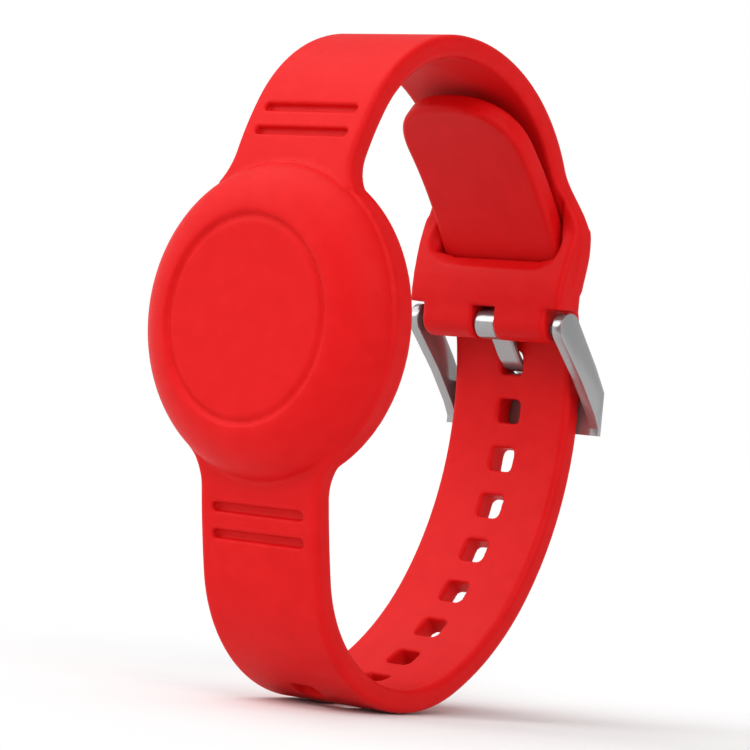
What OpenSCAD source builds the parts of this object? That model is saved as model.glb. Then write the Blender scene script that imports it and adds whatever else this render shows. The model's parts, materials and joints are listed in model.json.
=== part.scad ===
// Silicone wristband holding a coin-shaped bluetooth tracker in a round pod.
// Millimetres. Origin at the centre of the wrist opening, +Z up along the longest side,
// +X across the strap, and the pod faces -Y. The band is closed and buckled.

/* [Tracker] */
// Diameter of the coin tracker
tag_d = 31.9; // [31.8:0.05:32]
// Thickness of the coin tracker
tag_h = 8.0; // [7.9:0.05:8.1]
// Depth of the tracker's widest point behind its front
tag_mid = 3.6; // [3.5:0.05:3.7]

/* [Pod] */
// Radius of the pod's flange, which lies level with the strap
flange_r = 20.6; // [20.2:0.1:21]
// Thickness of the flange
flange_t = 3.6; // [3.3:0.1:3.7]
// Radius of the dome where it meets the flange
dome_r = 20.2; // [19.8:0.1:20.4]
// Radius of the flat front face
face_r = 13.9; // [13.7:0.1:14.4]
// Outer radius of the ring groove in the front face
ring_r = 13.4; // [12:0.05:13.6]
// Width of the ring groove
ring_w = 0.75; // [0.5:0.05:1]
// Depth of the ring groove
ring_depth = 0.45; // [0.3:0.05:0.6]
// Radius of the fillets between the flange and the sides of the strap
root_fillet = 7; // [5:0.5:7.5]
// Gap between the tracker and the wall of its pocket
pocket_gap = 0.08; // [0.05:0.01:0.1]

/* [Strap] */
// Width of the strap
strap_w = 20; // [19.6:0.1:20.4]
// Thickness of the strap
strap_t = 3; // [2.9:0.05:3.05]
// Distance between adjustment holes
hole_pitch = 7.08; // [6.9:0.02:7.1]
// Number of adjustment holes
hole_count = 11; // [8:1:11]
// Length of each grip groove beside the pod
groove_len = 15.6; // [12:0.1:17]
// Width of each grip groove
groove_w = 1.25; // [0.8:0.05:1.5]

/* [Buckle] */
// Overall width of the buckle frame
frame_w = 26.4; // [26.2:0.1:26.8]
// Thickness of each side arm
arm_t = 1.5; // [1.3:0.05:1.6]
// Radius of the ears around the spring bar
ear_r = 2.1; // [1.9:0.05:2.2]
// Radius of the tongue's barrel
barrel_r = 2.05; // [1.9:0.05:2.1]
// Width of the tongue at its barrel
tongue_w = 3.6; // [3.2:0.1:3.7]

/* [Hidden] */
$fn = 96;
small = 0.01;

// Where the pod and the tracker sit on the ring
pod_front = -31.3;
pod_z = 4.6;
dome_depth = 5.3;
dome_power = 1.65;
panel_depth = 0.12;
flange_depth = dome_depth + flange_t;
pod_back_r = [18.6, 17.6];
tag_front = pod_front + 1.5;
rim_back = tag_front + tag_h + 0.1;

// Outer line of the strap, from above, as arcs of [radius, turn in degrees]
upper_start = [-26.15, 22];
upper_heading = 77;
upper_arcs = [[45.4, -16], [19.9, -61], [25.6, -60], [27, -40]];
lower_start = [-26.15, -12];
lower_heading = -84;
lower_arcs = [[143.4, 6.5], [20.18, 106.84], [37.66, 26.82], [47.39, 45.33], [42.33, 18.51]];
tail_arcs = [[64.6, 22]];
arc_step = 3;
root_reach = flange_r + root_fillet;
root_len = sqrt(pow(root_reach, 2) - pow(strap_w / 2 + root_fillet, 2));
groove_places = [7.5, 11];
groove_depth = 0.9;
first_hole = 35.25;
hole_len = 3.5;
hole_w = 3.8;
hole_corner = 0.6;
tip_len = 9;

// Buckle end of the upper strap
bar_y = 18.8;
bar_z = 8;
bar_r = 0.9;
bar_bore_r = 0.95;
tab_w = 21.2;
tab_bottom = [18.5, 8.25];
tab_bottom_r = 2.35;
tab_inner = [[16.15, 8.25], [16.15, 10], [16.05, 12], [16.2, 14.2], [16.6, 16], [17.2, 18.3], [17.7, 20], [18.2, 22]];
tab_outer = [[21.3, 21.5], [21.5, 18], [21.4, 16.5], [21.2, 15.1], [20.98, 13.8], [20.88, 12.4], [20.85, 8.25]];
shoulder_z = 10.3;
slot_w = 4;
lip_z = 17.2;
lip_y = 18.35;
lip_slope = [15.4, 14.63];
lip_outer = [[18.35, 17.21], [20, 14.2], [20.6, 12.6], [26, 12.6], [26, 17.21]];
window_w = 20.5;
window_top = 20.6;
window_slope = [[20.6, 20.4], [19.1, 22.95], [17.4, 25.4], [12, 25.4], [12, 20.4]];
end_w = 26.8;
end_taper = 0.4;
flare = [20.2, 29.2];
taper = [13, 19.5];

// Spring bar and its seats in the ears
tube_len = 21;
tube_bore_r = 0.62;
tip_shaft_r = 0.57;
tip_pin_r = 0.5;
seat_r = 0.55;
tip_inner = 5.5;
tip_end = frame_w / 2 - 0.5;
seat_end = frame_w / 2 - 0.4;
shaft_end = 10.9;
spring_turns = 10;
wire_r = 0.09;

// Buckle frame and tongue, seen from the side
bar_plate = [26.97, 27.65];
bar_bottom = -5.8;
bar_top = 0.1;
plate_chamfer = 0.3;
arm_inner = [[17.15, 6.7], [22.5, 1.2], [25.9, -3], [26.97, -4.8]];
arm_outer = [[25.3, 3.4], [20.6, 9.1]];
tongue_line = [
    [19.5, 7.1], [20.6, 6.7], [21.5, 5.9], [22.9, 4.1], [24.1, 3],
    [25.4, 2.47], [26.6, 2.52], [27.75, 1.7], [28.15, 0.3], [28.15, -4.6]
];
tongue_t = 0.9;
tongue_mid_w = 3.56;
tongue_tip_w = 3;

// Tracker: depths are measured from its front
tag_r = tag_d / 2;
shape_power = 2.5;
shell_t = 1;
cover_r = 12.7;
cover_t = 0.35;
cover_bore_r = 12.85;
tab_r = 13.4;
tab_bore_r = 13.55;
tab_depth = [5.65, 6];
ledge = 6.15;
tab_angle = 22;
entry_angle = 30;
entry_turn = 27;
tray_floor = [3.3, 3.55];
board = [2.75, 3.25];
cell = [3.75, 6.95];
cell_r = 10;
board_parts_r = 9.7;
shield_r = 10.3;
shield_turn = 62;

// --- Shared helpers -----------------------------------------------------------

// Turns a shape built along +Z so that it runs along +Y
module along_y() {
    rotate([-90, 0, 0])
        children();
}

// Turns a shape built along +Z so that it runs along +X
module along_x() {
    rotate([0, 90, 0])
        children();
}

// Places a tracker part, built with its depth along +Z, in the pocket
module in_tag() {
    translate([0, tag_front, pod_z])
        along_y()
            children();
}

module ring(r_out, r_in, depth) {
    translate([0, 0, depth[0]]) difference() {
        cylinder(r = r_out, h = depth[1] - depth[0]);
        translate([0, 0, -1]) cylinder(r = r_in, h = depth[1] - depth[0] + 2);
    }
}

module disc(r, depth) { translate([0, 0, depth[0]]) cylinder(r = r, h = depth[1] - depth[0]); }

module rounded_rect(size, r) {
    square([size[0], size[1] - 2 * r], center = true);
    square([size[0] - 2 * r, size[1]], center = true);
    for (x = [-1, 1], y = [-1, 1])
        translate([x * (size[0] / 2 - r), y * (size[1] / 2 - r)]) circle(r = r, $fn = 32);
}

module stadium(len, w) {
    square([len - w, w], center = true);
    for (x = [-1, 1]) translate([x * (len - w) / 2, 0]) circle(r = w / 2, $fn = 32);
}

// Extrudes a side outline, given as [y, z], across the width w
module across(w) {
    translate([-w / 2, 0, 0])
        rotate([90, 0, 90])
            linear_extrude(w)
                children();
}

function smooth(t) = let (c = min(1, max(0, t))) c * c * (3 - 2 * c);

// --- Arc chains ---------------------------------------------------------------

function side(turn) = turn > 0 ? 1 : -1;
function left_of(h) = [-sin(h), cos(h)];
// A state is [point, heading]; this moves it along one arc by a part f of its turn
function along_arc(st, arc, f = 1) =
    let (r = arc[0] * side(arc[1]), c = st[0] + r * left_of(st[1]), h = st[1] + f * arc[1])
    [c - r * left_of(h), h];
function after(st, arcs, i = 0) =
    i == len(arcs) ? st : after(along_arc(st, arcs[i]), arcs, i + 1);
function first(arcs, n) = [for (i = [0:1:n - 1]) arcs[i]];
function arc_len(arc) = arc[0] * abs(arc[1]) * PI / 180;
// Points of a whole chain, moved sideways by d to the left
function chain(st, arcs, d = 0) = concat(
    [for (i = [0:len(arcs) - 1])
        let (s = after(st, first(arcs, i)), n = ceil(abs(arcs[i][1]) / arc_step))
        for (k = [0:n - 1])
            let (q = along_arc(s, arcs[i], k / n)) q[0] + d * left_of(q[1])],
    [let (q = after(st, arcs)) q[0] + d * left_of(q[1])]);
// State at a distance s along a chain
function at(st, arcs, s, i = 0) =
    i == len(arcs) - 1 || s <= arc_len(arcs[i])
        ? along_arc(st, arcs[i], s / arc_len(arcs[i]))
        : at(along_arc(st, arcs[i]), arcs, s - arc_len(arcs[i]), i + 1);
function flip(list) = [for (i = [len(list) - 1:-1:0]) list[i]];

upper_state = [upper_start, upper_heading];
lower_state = [lower_start, lower_heading];
tail_state = after(lower_state, lower_arcs);

// The strap's side outline; inward is +1 where the wrist lies left of the line, else -1
module strap_profile(state, arcs, inward) {
    polygon(concat(chain(state, arcs), flip(chain(state, arcs, inward * strap_t))));
}

// Puts a cutter, drawn in the plane of the strap, through it at a distance s
module on_strap(state, arcs, s) {
    q = at(state, arcs, s);
    translate([0, q[0][0], q[0][1]])
        rotate([q[1], 0, 0])
            children();
}

module grip_grooves(state, arcs) {
    for (s = groove_places)
        on_strap(state, arcs, s)
            linear_extrude(2 * groove_depth, center = true)
                stadium(groove_len, groove_w);
}

// --- Band ---------------------------------------------------------------------

module in_pod() {
    translate([0, pod_front, pod_z])
        along_y()
            children();
}

// Half outline of the dome: a flat face that rolls over to the flange
function dome_edge(n) = [for (k = [0:n])
    let (a = 90 * k / n, p = 2 / dome_power)
    [face_r + (dome_r - face_r) * pow(sin(a), p), dome_depth * (1 - pow(cos(a), p))]];

module pod_case() {
    pocket_r = tag_r + pocket_gap;
    rim_depth = rim_back - pod_front;
    color("red") difference() {
        in_pod() {
            rotate_extrude() polygon(concat([[0, 0]], dome_edge(10), [[0, dome_depth]]));
            disc(flange_r, [dome_depth - small, flange_depth]);
            rotate_extrude() polygon([
                [0, dome_depth], [pod_back_r[0], dome_depth], [pod_back_r[0], flange_depth],
                [pod_back_r[1], rim_depth], [0, rim_depth]
            ]);
        }
        in_pod() {
            disc(ring_r - small, [-1, panel_depth]);
            ring(ring_r, ring_r - ring_w, [-1, ring_depth]);
        }
        in_tag() {
            rotate_extrude() polygon(tag_half(tag_r + pocket_gap, tag_mid + pocket_gap, -pocket_gap));
            disc(pocket_r, [tag_mid - small, tag_h + 2]);
        }
    }
}

// Half width of the strap's root at a height h from the pod's axis
function root_half(h) =
    strap_w / 2 + root_fillet - sqrt(pow(root_fillet, 2) - pow(root_len - h, 2));

// The strap's root seen from the front: both sides run out to the flange in a fillet
module root_outline(direction) {
    low = root_len * flange_r / root_reach;
    heights = [for (k = [0:10]) low + (root_len - low) * k / 10];
    right = [for (h = heights) [root_half(h), pod_z + direction * h]];
    left = [for (h = flip(heights)) [-root_half(h), pod_z + direction * h]];
    polygon(concat([[0, pod_z]], right, left));
}

// The part of the strap beside the flange; direction is +1 above the pod and -1 below it
module strap_root(state, arcs, inward, direction) {
    intersection() {
        across(2 * flange_r) strap_profile(state, arcs, inward);
        translate([0, -15, 0])
            rotate([90, 0, 0])
                linear_extrude(30)
                    root_outline(direction);
    }
}

// Half width of the buckle end at height z: it flares from the strap, then narrows to the shoulder
function end_half(z) = z > flare[0]
    ? strap_w / 2 + (end_w - strap_w) / 2 * smooth((flare[1] - z) / (flare[1] - flare[0]))
    : end_w / 2 - end_taper * smooth((taper[1] - z) / (taper[1] - taper[0]));

module end_outline() {
    heights = [for (k = [0:24]) 30 - k * (30 - shoulder_z) / 24];
    right = [for (z = heights) [end_half(z), z]];
    left = [for (z = flip(heights)) [-end_half(z), z]];
    polygon(concat([[strap_w / 2, 60]], right,
        [[tab_w / 2, shoulder_z], [tab_w / 2, 0], [-tab_w / 2, 0], [-tab_w / 2, shoulder_z]],
        left, [[-strap_w / 2, 60]]));
}

// Side outline of the tab that wraps the spring bar, with the rails beside the window
module tab_profile() {
    polygon(concat(tab_inner, tab_outer));
    translate(tab_bottom) circle(r = tab_bottom_r, $fn = 64);
}

// The window, which follows the strap as it slants inwards, with the slope of its lower lip
// and the way out under the lip for the lower strap
module window_cut() {
    across(window_w) {
        polygon([[12, lip_z], [30, lip_z], [30, window_top], [12, window_top]]);
        polygon(window_slope);
        polygon(lip_outer);
        polygon([[lip_y, lip_z + small], lip_slope, [lip_slope[0], window_top], [lip_y, window_top]]);
    }
}

module upper_strap() {
    color("red") difference() {
        union() {
            intersection() {
                across(strap_w) strap_profile(upper_state, upper_arcs, -1);
                translate([-strap_w, -44, 10]) cube([2 * strap_w, 48, 60]);
            }
            strap_root(upper_state, upper_arcs, -1, 1);
            intersection() {
                across(40) union() {
                    strap_profile(upper_state, upper_arcs, -1);
                    tab_profile();
                }
                translate([0, 54, 0]) rotate([90, 0, 0]) linear_extrude(50) end_outline();
            }
        }
        in_pod() disc(flange_r, [-1, 20]);
        grip_grooves(upper_state, upper_arcs);
        window_cut();
        translate([0, bar_y, bar_z]) along_x() cylinder(r = bar_bore_r, h = 40, center = true);
        translate([-slot_w / 2, 10, 0]) cube([slot_w, 20, shoulder_z]);
    }
}

module lower_strap() {
    color("red") difference() {
        union() {
            across(strap_w) strap_profile(lower_state, lower_arcs, 1);
            strap_root(lower_state, lower_arcs, 1, -1);
        }
        in_pod() disc(flange_r, [-1, 20]);
        grip_grooves(lower_state, lower_arcs);
        for (k = [0:hole_count - 1])
            on_strap(lower_state, lower_arcs, first_hole + k * hole_pitch)
                linear_extrude(4 * strap_t, center = true)
                    rounded_rect([hole_w, hole_len], hole_corner);
    }
}

tail_len = arc_len(tail_arcs[0]);

// Half width of the tail at a distance s from the window
function tail_half(s) = let (q = max(0, (s - tail_len + tip_len) / tip_len))
    strap_w / 2 * pow(max(0, 1 - pow(q, 2.4)), 1 / 2.4);

// The tail seen flat, with its middle at the origin; the tip is drawn in n steps a side
module tail_outline(n = 18) {
    places = [for (k = [0:n]) tail_len - tip_len * pow(1 - k / n, 2)];
    right = [for (s = places) [tail_half(s), s - tail_len / 2]];
    left = [for (s = flip(first(places, n))) [-tail_half(s), s - tail_len / 2]];
    polygon(concat(right, left, [[-strap_w / 2, -tail_len], [strap_w / 2, -tail_len]]));
}

module strap_tail() {
    color("red") intersection() {
        across(strap_w) strap_profile(tail_state, tail_arcs, 1);
        on_strap(tail_state, tail_arcs, tail_len / 2)
            linear_extrude(14, center = true)
                tail_outline();
    }
}

// --- Buckle -------------------------------------------------------------------

module arm_profile() {
    translate([bar_y, bar_z]) circle(r = ear_r, $fn = 64);
    polygon(concat(
        arm_inner,
        [[bar_plate[0], bar_bottom], [bar_plate[1] - plate_chamfer, bar_bottom],
         [bar_plate[1], bar_bottom + plate_chamfer], [bar_plate[1], bar_top]],
        arm_outer));
}

module buckle_frame() {
    color("silver") difference() {
        union() {
            for (x = [-frame_w / 2, frame_w / 2 - arm_t])
                translate([x + arm_t / 2, 0, 0]) across(arm_t) arm_profile();
            translate([-frame_w / 2, bar_plate[0], bar_bottom])
                cube([frame_w, bar_plate[1] - bar_plate[0], bar_top - bar_bottom]);
        }
        translate([0, bar_y, bar_z]) along_x() cylinder(r = seat_r, h = 2 * seat_end, center = true);
    }
}

// Left side of a bent line of [y, z] points, moved out by d, with mitred corners
function unit(v) = v / norm(v);
function left_normal(line, i) = let (d = unit(line[i + 1] - line[i])) [-d[1], d[0]];
function bent_side(line, d) = [for (i = [0:len(line) - 1])
    let (a = left_normal(line, max(0, i - 1)), b = left_normal(line, min(len(line) - 2, i)), m = unit(a + b))
    line[i] + d / (m * a) * m];

module buckle_tongue() {
    color("silver") difference() {
        union() {
            translate([0, bar_y, bar_z]) along_x() cylinder(r = barrel_r, h = tongue_w, center = true);
            intersection() {
                across(tongue_w) polygon(concat(
                    bent_side(tongue_line, tongue_t / 2), flip(bent_side(tongue_line, -tongue_t / 2))));
                translate([0, 40, 0]) rotate([90, 0, 0]) linear_extrude(30) polygon([
                    [tongue_w / 2, 12], [tongue_w / 2, 6], [tongue_mid_w / 2, 4], [tongue_tip_w / 2, -8],
                    [-tongue_tip_w / 2, -8], [-tongue_mid_w / 2, 4], [-tongue_w / 2, 6], [-tongue_w / 2, 12]
                ]);
            }
        }
        translate([0, bar_y, bar_z]) along_x() cylinder(r = bar_bore_r, h = 10, center = true);
    }
}

module on_bar() {
    translate([0, bar_y, bar_z])
        along_x()
            children();
}

module spring_bar_tube() {
    color("gainsboro") on_bar() difference() {
        cylinder(r = bar_r, h = tube_len, center = true);
        cylinder(r = tube_bore_r, h = tube_len + 2, center = true);
    }
}

// The coil between the two tips, as a stack of rings
module spring_bar_spring() {
    pitch = 2 * (tip_inner - 0.1) / spring_turns;
    color("gray") on_bar() for (k = [0:spring_turns - 1])
        translate([0, 0, (k + 0.5 - spring_turns / 2) * pitch])
            rotate_extrude($fn = 32) translate([0.45, 0]) circle(r = wire_r, $fn = 16);
}

module spring_bar_tip(direction) {
    color("gainsboro") on_bar() mirror([0, 0, direction < 0 ? 1 : 0]) {
        translate([0, 0, tip_inner]) cylinder(r = tip_shaft_r, h = shaft_end - tip_inner);
        translate([0, 0, shaft_end - small]) cylinder(r = tip_pin_r, h = tip_end - shaft_end + small);
    }
}

module spring_bar_tip_left() { spring_bar_tip(-1); }
module spring_bar_tip_right() { spring_bar_tip(1); }

// --- Tracker housing ----------------------------------------------------------

// Half outline of the tracker's front: depth runs from top to the widest point
function tag_half(r, mid, top = 0, n = 14) = concat(
    [for (k = [0:n]) let (a = 90 * k / n, p = 2 / shape_power)
        [r * pow(sin(a), p), top + (mid - top) * (1 - pow(cos(a), p))]],
    [[0, mid]]);
// Depth of the tracker's back surface at radius r
function back_depth(r) = tag_mid + (tag_h - tag_mid) * pow(1 - pow(r / tag_r, shape_power), 1 / shape_power);

module front_shell() {
    color("white") in_tag() {
        rotate_extrude() difference() {
            polygon(tag_half(tag_r, tag_mid));
            polygon(tag_half(tag_r - shell_t, tag_mid + small, shell_t));
        }
        ring(tag_r - 0.55, tag_r - shell_t, [tag_mid - small, tag_mid + 1]);
    }
}

module rear_ring() {
    radii = [for (k = [0:10]) tag_r - (tag_r - cover_bore_r) * pow(k / 10, 2)];
    color("white") in_tag() difference() {
        rotate_extrude() polygon(concat(
            [[tab_bore_r, tag_mid + 0.02], [tag_r, tag_mid + 0.02]],
            [for (r = radii) [r, back_depth(r)]],
            [[cover_bore_r, ledge], [tab_bore_r, ledge]]));
        ring(tag_r - 0.52, tag_r - shell_t - 0.03, [tag_mid - 1, tag_mid + 1.02]);
        for (k = [0:2]) rotate(120 * k + entry_turn) sector(tab_bore_r, entry_angle, [ledge - 1, 8]);
    }
}

// A pie slice of a disc, centred on +X
module sector(r, angle, depth) {
    intersection() {
        disc(r, depth);
        rotate(-angle / 2) translate([0, 0, depth[0]]) cube([2 * r, 2 * r, depth[1] - depth[0]]);
        rotate(angle / 2) translate([0, -2 * r, depth[0]]) cube([2 * r, 2 * r, depth[1] - depth[0]]);
    }
}

module battery_cover() {
    skirt_r = cover_r - cover_t;
    radii = [for (k = [0:12]) cover_r * k / 12];
    color("silver") in_tag() {
        rotate_extrude() polygon(concat(
            [for (r = radii) [r, back_depth(r)]],
            [[cover_r, tab_depth[0]], [skirt_r, tab_depth[0]], [skirt_r, back_depth(skirt_r) - cover_t]],
            [for (r = flip(radii)) if (r < skirt_r) [r, back_depth(r) - cover_t]]));
        for (k = [0:2]) rotate(120 * k) difference() {
            sector(tab_r, tab_angle, tab_depth);
            translate([0, 0, tab_depth[0] - 1]) cylinder(r = cover_r - small, h = 3);
        }
    }
}

module cover_pad() { color("white") in_tag() disc(6, [cell[1] + 0.02, 7.4]); }

module cover_seal() {
    color("dimgray") in_tag() rotate_extrude() translate([11.55, 5.2]) circle(r = 0.4, $fn = 32);
}

// --- Tracker electronics ------------------------------------------------------

module antenna_carrier() { color("ivory") in_tag() ring(10.8, 6.9, [1.62, 1.87]); }

// Three flat printed turns
module nfc_coil() {
    color("peru") in_tag() for (k = [0:2]) ring(10.4 - 0.9 * k, 9.9 - 0.9 * k, [1.87, 1.92]);
}

module voice_coil() { color("peru") in_tag() ring(5.2, 4.6, [1.25, 2.65]); }
module magnet() { color("lightgray") in_tag() disc(4, [1.6, 2.9]); }
module pole_plate() { color("silver") in_tag() disc(4.1, [1.35, 1.6]); }

module magnet_cup() {
    color("silver") in_tag() {
        disc(6, [2.9, 3.28]);
        ring(6, 5.6, [1.7, 2.9 + small]);
    }
}

module main_board() {
    color("darkgreen") in_tag() difference() {
        ring(13.6, 6.2, board);
        for (k = [0:2]) rotate(120 * k + 60) translate([13.6, 0, board[0] - 1]) cylinder(r = 0.8, h = 3, $fn = 32);
    }
}

// A flat part soldered on the front side of the board, at an angle around the ring
module on_board(angle, size, r = board_parts_r) {
    rotate(angle) translate([r - size[0] / 2, -size[1] / 2, board[0] - size[2]]) cube(size);
}

module radio_chip() { color("black") in_tag() on_board(0, [3.2, 3.4, 0.6]); }
module ranging_chip() { color("black") in_tag() on_board(shield_turn, [3.4, 3.4, 0.45], shield_r); }

module ranging_shield() {
    size = [4.6, 5.2, 0.75];
    wall = 0.12;
    color("silver") in_tag() difference() {
        on_board(shield_turn, size, shield_r);
        rotate(shield_turn)
            translate([shield_r - size[0] / 2 + wall, wall - size[1] / 2, board[0] - size[2] + wall])
                cube([size[0] - 2 * wall, size[1] - 2 * wall, 1]);
    }
}

module flash_memory() { color("black") in_tag() on_board(118, [2, 3, 0.5]); }
module motion_sensor() { color("dimgray") in_tag() on_board(158, [2, 2, 0.7]); }
module sound_amplifier() { color("black") in_tag() on_board(196, [2.2, 2.2, 0.55]); }

module crystals() { color("silver") in_tag() for (a = [226, 243]) on_board(a, [1.2, 1.6, 0.45]); }
module inductors() { color("gray") in_tag() for (a = [176, 262, 276]) on_board(a, [1.6, 0.9, 0.7], 11.4); }

module ceramic_capacitors() {
    color("tan") in_tag() for (a = [28, 34, 40, 90, 96, 138, 144, 210, 216, 290, 296, 334])
        on_board(a, [1, 0.5, 0.5], 12.4);
}

module storage_capacitors() { color("darkkhaki") in_tag() for (a = [306, 322]) on_board(a, [1.6, 2.2, 0.7], 10.6); }

// --- Battery bay --------------------------------------------------------------

module battery_tray() {
    color("whitesmoke") in_tag() difference() {
        union() {
            disc(14.6, tray_floor);
            ring(11.1, 10.3, [tray_floor[0], 6.2]);
        }
        for (a = [0, 180]) rotate(a) translate([9, -1.7, tray_floor[1]]) cube([4, 3.4, 4]);
    }
}

// A strip along the tray's floor with a raised centre under the battery
module negative_contact() {
    color("gold") in_tag() rotate(90) {
        translate([-7, -1.2, tray_floor[1]]) cube([7, 2.4, 0.12]);
        disc(1.8, [tray_floor[1], cell[0]]);
    }
}

module positive_contacts() {
    color("gold") in_tag() for (a = [0, 180]) rotate(a) {
        translate([cell_r + 0.03, -1.4, tray_floor[1]]) cube([0.2, 2.8, 2.5]);
        translate([cell_r + 0.03, -1.4, tray_floor[1]]) cube([2.2, 2.8, 0.2]);
    }
}

// --- Coin cell ----------------------------------------------------------------

module cell_can() {
    color("silver") in_tag() difference() {
        disc(cell_r, [cell[0] + 0.35, cell[1]]);
        disc(cell_r - 0.25, [cell[0], cell[1] - 0.25]);
    }
}

module cell_lid() {
    color("lightgray") in_tag() difference() {
        disc(9, [cell[0], cell[0] + 1.2]);
        disc(8.75, [cell[0] + 0.25, cell[1]]);
    }
}

module cell_gasket() {
    color("dimgray") in_tag() ring(cell_r - 0.25, 9, [cell[0] + 0.4, cell[0] + 1.2]);
}

module cell_anode() { color("silver") in_tag() disc(8.4, [cell[0] + 0.25, cell[0] + 0.85]); }
module cell_separator() { color("white") in_tag() disc(8.7, [cell[0] + 0.85, cell[0] + 1.05]); }
module cell_cathode() { color("black") in_tag() disc(8.6, [cell[0] + 1.05, cell[1] - 0.25]); }

pod_case();
upper_strap();
lower_strap();
strap_tail();
buckle_frame();
buckle_tongue();
spring_bar_tube();
spring_bar_spring();
spring_bar_tip_left();
spring_bar_tip_right();
front_shell();
rear_ring();
battery_cover();
cover_pad();
cover_seal();
antenna_carrier();
nfc_coil();
voice_coil();
magnet();
pole_plate();
magnet_cup();
main_board();
radio_chip();
ranging_chip();
ranging_shield();
flash_memory();
motion_sensor();
sound_amplifier();
crystals();
inductors();
ceramic_capacitors();
storage_capacitors();
battery_tray();
negative_contact();
positive_contacts();
cell_can();
cell_lid();
cell_gasket();
cell_cathode();
cell_separator();
cell_anode();
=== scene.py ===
"""Looks of the tracker wristband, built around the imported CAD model.

Shapes are worked out in millimetres in the row frame, as in the CAD source, and turned to metres when a
mesh is made. The silicone and the tongue are distance fields, meshed by a surface net, so that every
edge has the soft fillet of a moulded or a polished part.
"""

import json
import math
from contextlib import contextmanager

import bmesh
import bpy
import numpy as np
from mathutils import Matrix, Vector


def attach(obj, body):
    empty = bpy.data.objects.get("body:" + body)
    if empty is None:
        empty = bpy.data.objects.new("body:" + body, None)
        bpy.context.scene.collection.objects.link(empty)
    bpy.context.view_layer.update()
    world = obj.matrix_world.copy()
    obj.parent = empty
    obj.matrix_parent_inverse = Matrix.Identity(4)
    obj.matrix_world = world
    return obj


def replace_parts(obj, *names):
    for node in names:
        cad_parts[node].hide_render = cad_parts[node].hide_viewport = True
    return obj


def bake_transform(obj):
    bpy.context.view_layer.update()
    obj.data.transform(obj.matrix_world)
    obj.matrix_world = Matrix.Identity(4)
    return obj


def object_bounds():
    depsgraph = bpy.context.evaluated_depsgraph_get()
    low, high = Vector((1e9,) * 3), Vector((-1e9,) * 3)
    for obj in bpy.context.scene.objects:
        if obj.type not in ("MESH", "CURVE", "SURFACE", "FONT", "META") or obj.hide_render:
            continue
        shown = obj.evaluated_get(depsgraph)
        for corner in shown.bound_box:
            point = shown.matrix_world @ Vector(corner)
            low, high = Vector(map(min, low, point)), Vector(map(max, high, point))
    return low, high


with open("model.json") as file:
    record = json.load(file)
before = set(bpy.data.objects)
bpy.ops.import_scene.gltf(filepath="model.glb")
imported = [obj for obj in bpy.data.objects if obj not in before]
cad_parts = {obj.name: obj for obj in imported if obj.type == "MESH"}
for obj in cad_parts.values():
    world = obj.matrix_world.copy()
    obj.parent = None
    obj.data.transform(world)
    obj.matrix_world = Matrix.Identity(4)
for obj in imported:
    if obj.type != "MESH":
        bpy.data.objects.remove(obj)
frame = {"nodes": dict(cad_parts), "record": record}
cad_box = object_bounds()

MM = 0.001

# --- Driving sizes, in millimetres -------------------------------------------

# pod: a flat face inside a ring groove, a dome around it, a flange, and a pocket open at the back
POD_FRONT = -31.3
POD_Z = 4.6
DOME_DEPTH = 5.3
DOME_POWER = 1.65
DOME_R = 20.2
FACE_R = 13.9
FLANGE_T = 3.6
FLANGE_R = 20.6
FLANGE_FRONT_R, FLANGE_BACK_R = 0.3, 0.7
PANEL_DEPTH = 0.12
RING_R, RING_W, RING_DEPTH = 13.4, 0.75, 0.45
REAR_STEP = ((18.8, 0), (18.4, 0.15))
REAR_LIP_R, REAR_LIP_EDGE = 17.2, 0.5
POCKET_GAP = 0.08

# tracker: a front shell, a rear ring and a battery cover, as depths behind its front
TAG_R = 15.95
TAG_H = 8.0
TAG_MID = 3.6
TAG_FRONT = POD_FRONT + 1.5
TAG_POWER = 2.5
SHELL_T = 1.0
REAR_RING_IN, REAR_RING_SEAT, REAR_RING_BACK = 12.85, 13.55, 6.15
COVER_R = 12.7
COVER_T = 0.35
COVER_EDGE_R = 0.3
COVER_SKIRT = 5.7

# straps; grooves and holes are placed by their distance from the strap's root
STRAP_HALF = 10.0
STRAP_T = 3.0
EDGE_R = 0.8
ROOT_FILLET = 7.0
GROOVES = (7.5, 11.0)
GROOVE_HALF, GROOVE_R, GROOVE_DEPTH = 7.2, 0.62, 0.9
HOLES = [35.25 + 7.08 * k for k in range(11)]
HOLE_HALF_W, HOLE_HALF_L, HOLE_CORNER = 1.88, 1.75, 0.8
TIP_LEN = 9.0
TIP_POWER = 2.4
SEAM = 110.0

# buckle end of the upper strap: a tab with the spring bar, and above it a window for the tail
BAR_Y, BAR_Z = 18.8, 8.0
BAR_BORE_R = 0.95
TAB_HALF = 10.6
TAB_BOTTOM, TAB_BOTTOM_R = (18.5, 8.25), 2.35
TAB_INNER = [
    (16.15, 8.25), (16.15, 10), (16.05, 12), (16.2, 14.2),
    (16.6, 16), (17.2, 18.3), (17.7, 20), (18.2, 22)
]
TAB_OUTER = [
    (21.3, 21.5), (21.5, 18), (21.4, 16.5), (21.2, 15.1),
    (20.98, 13.8), (20.88, 12.4), (20.85, 8.25)
]
TAB_EDGE_R = 0.7
SHOULDER_Z = 10.3
SLOT_HALF = 2.0
END_HALF, END_TAPER = 13.4, 0.4
# the window's lip, top and half width, the outline of its slanted part, and the way that its wall faces
LIP_Z, WINDOW_TOP, WINDOW_HALF = 17.2, 20.6, 10.25
WINDOW_SLOPE = [(20.6, 20.4), (19.1, 22.95), (17.4, 25.4), (12, 25.4), (12, 20.4)]
WINDOW_WALL = (0.842, 0.539)
LIP_OUTER = [(18.35, 17.5), (18.35, 17.21), (20, 14.2), (20.6, 12.6), (26, 12.6), (26, 17.5)]
# heights, and the places of the end's inner face at them
INNER_FACE = ([14.2, 16, 18.3, 20, 22, 24.5], [16.2, 16.6, 17.2, 17.7, 18.2, 18.1])
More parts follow.
